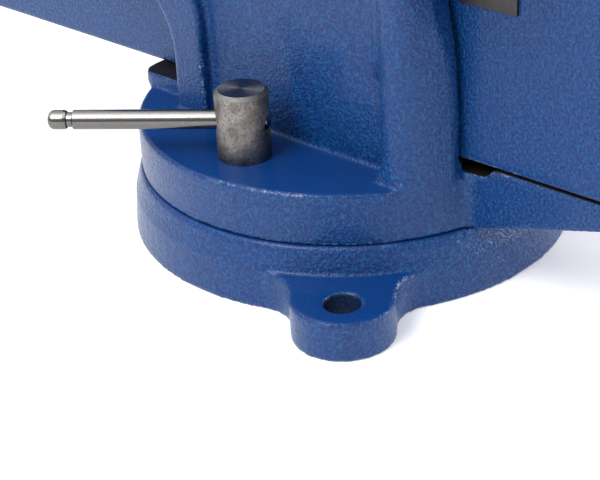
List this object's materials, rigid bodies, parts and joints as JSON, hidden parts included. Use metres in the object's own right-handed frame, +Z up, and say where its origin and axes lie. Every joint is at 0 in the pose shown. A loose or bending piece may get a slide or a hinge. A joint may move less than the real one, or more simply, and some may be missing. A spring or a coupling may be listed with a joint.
{
  "type": "bench vise",
  "caption": "Cast-iron bench vise with a lockable swivel base, box slide, screwed moving jaw, hardened jaw plates and rear anvil.",
  "frame": {"origin": "centre of the swivel base's underside, on the bench, on the swivel axis", "axes": "+Z up, -Y towards the handle end with the swivel at zero, X along the jaws"},
  "size_m": [0.2298, 0.4588, 0.216],
  "materials": {
    "enamel": "textured gloss enamel over cast iron",
    "turned_steel": "turned steel, slightly tarnished",
    "bright_steel": "polished steel",
    "plate_metal": "satin, blank",
    "bare_iron": "machined and oiled"
  },
  "bodies": {
    "base": {"swivel_base": "enamel"},
    "swivel_body": {"vise_body": "enamel", "fixed_jaw_plate": "turned_steel", "fixed_jaw_screws": "bright_steel", "main_nut": "bare_iron", "main_nut_bolts": "turned_steel", "clamp_nut_left": "turned_steel", "clamp_nut_right": "turned_steel"},
    "sliding_jaw": {"moving_jaw": "enamel", "moving_jaw_plate": "turned_steel", "moving_jaw_screws": "bright_steel", "side_plate": "plate_metal", "side_plate_rivets": "plate_metal", "thrust_washer": "bright_steel", "spring_washer": "bright_steel"},
    "screw": {"main_screw": "turned_steel", "screw_spring": "bright_steel", "retaining_collar": "turned_steel", "collar_pin": "bright_steel"},
    "handle": {"handle_bar": "bright_steel", "handle_knob_left": "bright_steel", "handle_knob_right": "bright_steel"},
    "left_lock": {"lock_bolt_left": "turned_steel"},
    "left_lock_bar": {"lock_bar_left": "bright_steel"},
    "right_lock": {"lock_bolt_right": "turned_steel"},
    "right_lock_bar": {"lock_bar_right": "bright_steel"}
  },
  "joints": [
    {"name": "swivel", "type": "hinge", "parent": "base", "child": "swivel_body", "pos_m": [0, 0, 0.028], "axis": [0, 0, 1], "continuous": true},
    {"name": "jaw_slide", "type": "slide", "parent": "swivel_body", "child": "sliding_jaw", "axis": [0, -1, 0], "range_m": [0, 0.15]},
    {"name": "screw_turn", "type": "hinge", "parent": "sliding_jaw", "child": "screw", "pos_m": [0, -0.2, 0.0848], "axis": [0, -1, 0], "range_deg": [-5, 9005]},
    {"name": "handle_slide", "type": "slide", "parent": "screw", "child": "handle", "axis": [1, 0, 0], "range_m": [-0.06, 0.06]},
    {"name": "left_lock_turn", "type": "hinge", "parent": "swivel_body", "child": "left_lock", "pos_m": [-0.06548, -0.0018, 0.0502], "axis": [0, 0, 1], "range_deg": [-45, 130]},
    {"name": "left_bar_slide", "type": "slide", "parent": "left_lock", "child": "left_lock_bar", "axis": [0.6018, -0.7986, 0], "range_m": [0, 0.016]},
    {"name": "right_lock_turn", "type": "hinge", "parent": "swivel_body", "child": "right_lock", "pos_m": [0.06548, -0.0018, 0.0502], "axis": [0, 0, 1], "range_deg": [-130, 45]},
    {"name": "right_bar_slide", "type": "slide", "parent": "right_lock", "child": "right_lock_bar", "axis": [-0.6018, -0.7986, 0], "range_m": [0, 0.016]}
  ],
  "couplings": [
    {"joint": "screw_turn", "follows": "jaw_slide", "rad_per_m": 1047.2}
  ]
}
